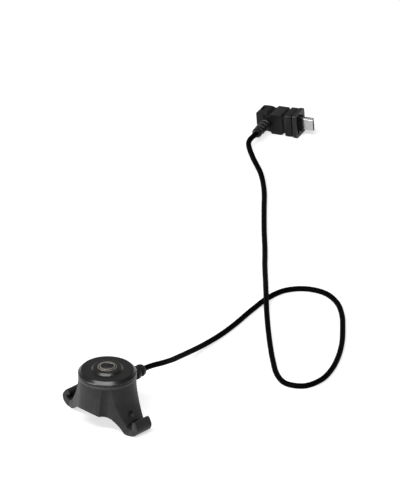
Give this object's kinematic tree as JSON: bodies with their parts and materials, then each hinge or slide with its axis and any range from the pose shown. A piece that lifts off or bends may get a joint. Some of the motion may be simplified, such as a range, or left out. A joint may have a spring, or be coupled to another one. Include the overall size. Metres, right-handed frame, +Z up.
{
  "type": "wired handlebar remote switch",
  "caption": "Round press-button remote switch with a handlebar saddle and band hooks, on a thin looped lead with a right-angle micro-USB plug.",
  "frame": {"origin": "on the button's axis, at the level of the undersides of the two band hooks", "axes": "+X from hook to hook, +Y along the handlebar and the way the lead leaves the switch, +Z up out of the button"},
  "size_m": [0.2118, 0.2973, 0.0288],
  "materials": {
    "body_plastic": "fine spark-eroded texture, satin",
    "ring_plastic": "smooth satin",
    "cap_plastic": "smooth satin with a brighter sheen on the sloping edge",
    "boss_plastic": "smooth satin, warm grey",
    "mat_rubber": "matt silicone",
    "board_laminate": "green solder mask over glass laminate",
    "switch_plastic": "matt black moulding",
    "steel": "plain steel",
    "gilt_contact": "thin gold plating",
    "wire_insulation": "red wire insulation",
    "lead_rubber": "black jacket with a low sheen",
    "plug_plastic": "dark charcoal soft moulding",
    "flange_rubber": "dark charcoal rubber seal",
    "core_nylon": "natural nylon",
    "shell_steel": "bright nickel-plated steel"
  },
  "bodies": {
    "switch_body": {"housing": "body_plastic", "guide_ring": "ring_plastic", "ring_screws": "steel", "keymat": "mat_rubber", "circuit_board": "board_laminate", "switch_base": "switch_plastic", "switch_cover": "steel", "contact_disc": "gilt_contact", "switch_terminals": "steel", "switch_wires": "wire_insulation", "gland": "lead_rubber", "crimp_ring": "steel", "cord_ends": "lead_rubber", "cord": "lead_rubber", "strain_relief": "plug_plastic", "plug_cover": "plug_plastic", "plug_core": "core_nylon", "plug_collar": "plug_plastic", "seal_flange": "flange_rubber", "connector_shell": "shell_steel", "connector_insulator": "switch_plastic", "contacts": "gilt_contact", "plug_wires": "wire_insulation"},
    "button": {"button_cap": "cap_plastic", "centre_boss": "boss_plastic"},
    "plunger": {"switch_plunger": "switch_plastic"},
    "latches": {"latch_springs": "shell_steel"}
  },
  "joints": [
    {"name": "button_press", "type": "slide", "parent": "switch_body", "child": "button", "axis": [0, 0, -1], "range_m": [0, 0.00035], "stiffness_N_per_m": 8000, "deforming": ["keymat"]},
    {"name": "plunger_press", "type": "slide", "parent": "switch_body", "child": "plunger", "axis": [0, 0, -1], "range_m": [0, 0.00026]},
    {"name": "latch_press", "type": "slide", "parent": "switch_body", "child": "latches", "axis": [0.342, -0.9397, 0], "range_m": [0, 0.00022], "stiffness_N_per_m": 1500}
  ],
  "couplings": [
    {"joint": "plunger_press", "follows": "button_press", "ratio": 0.71429}
  ]
}
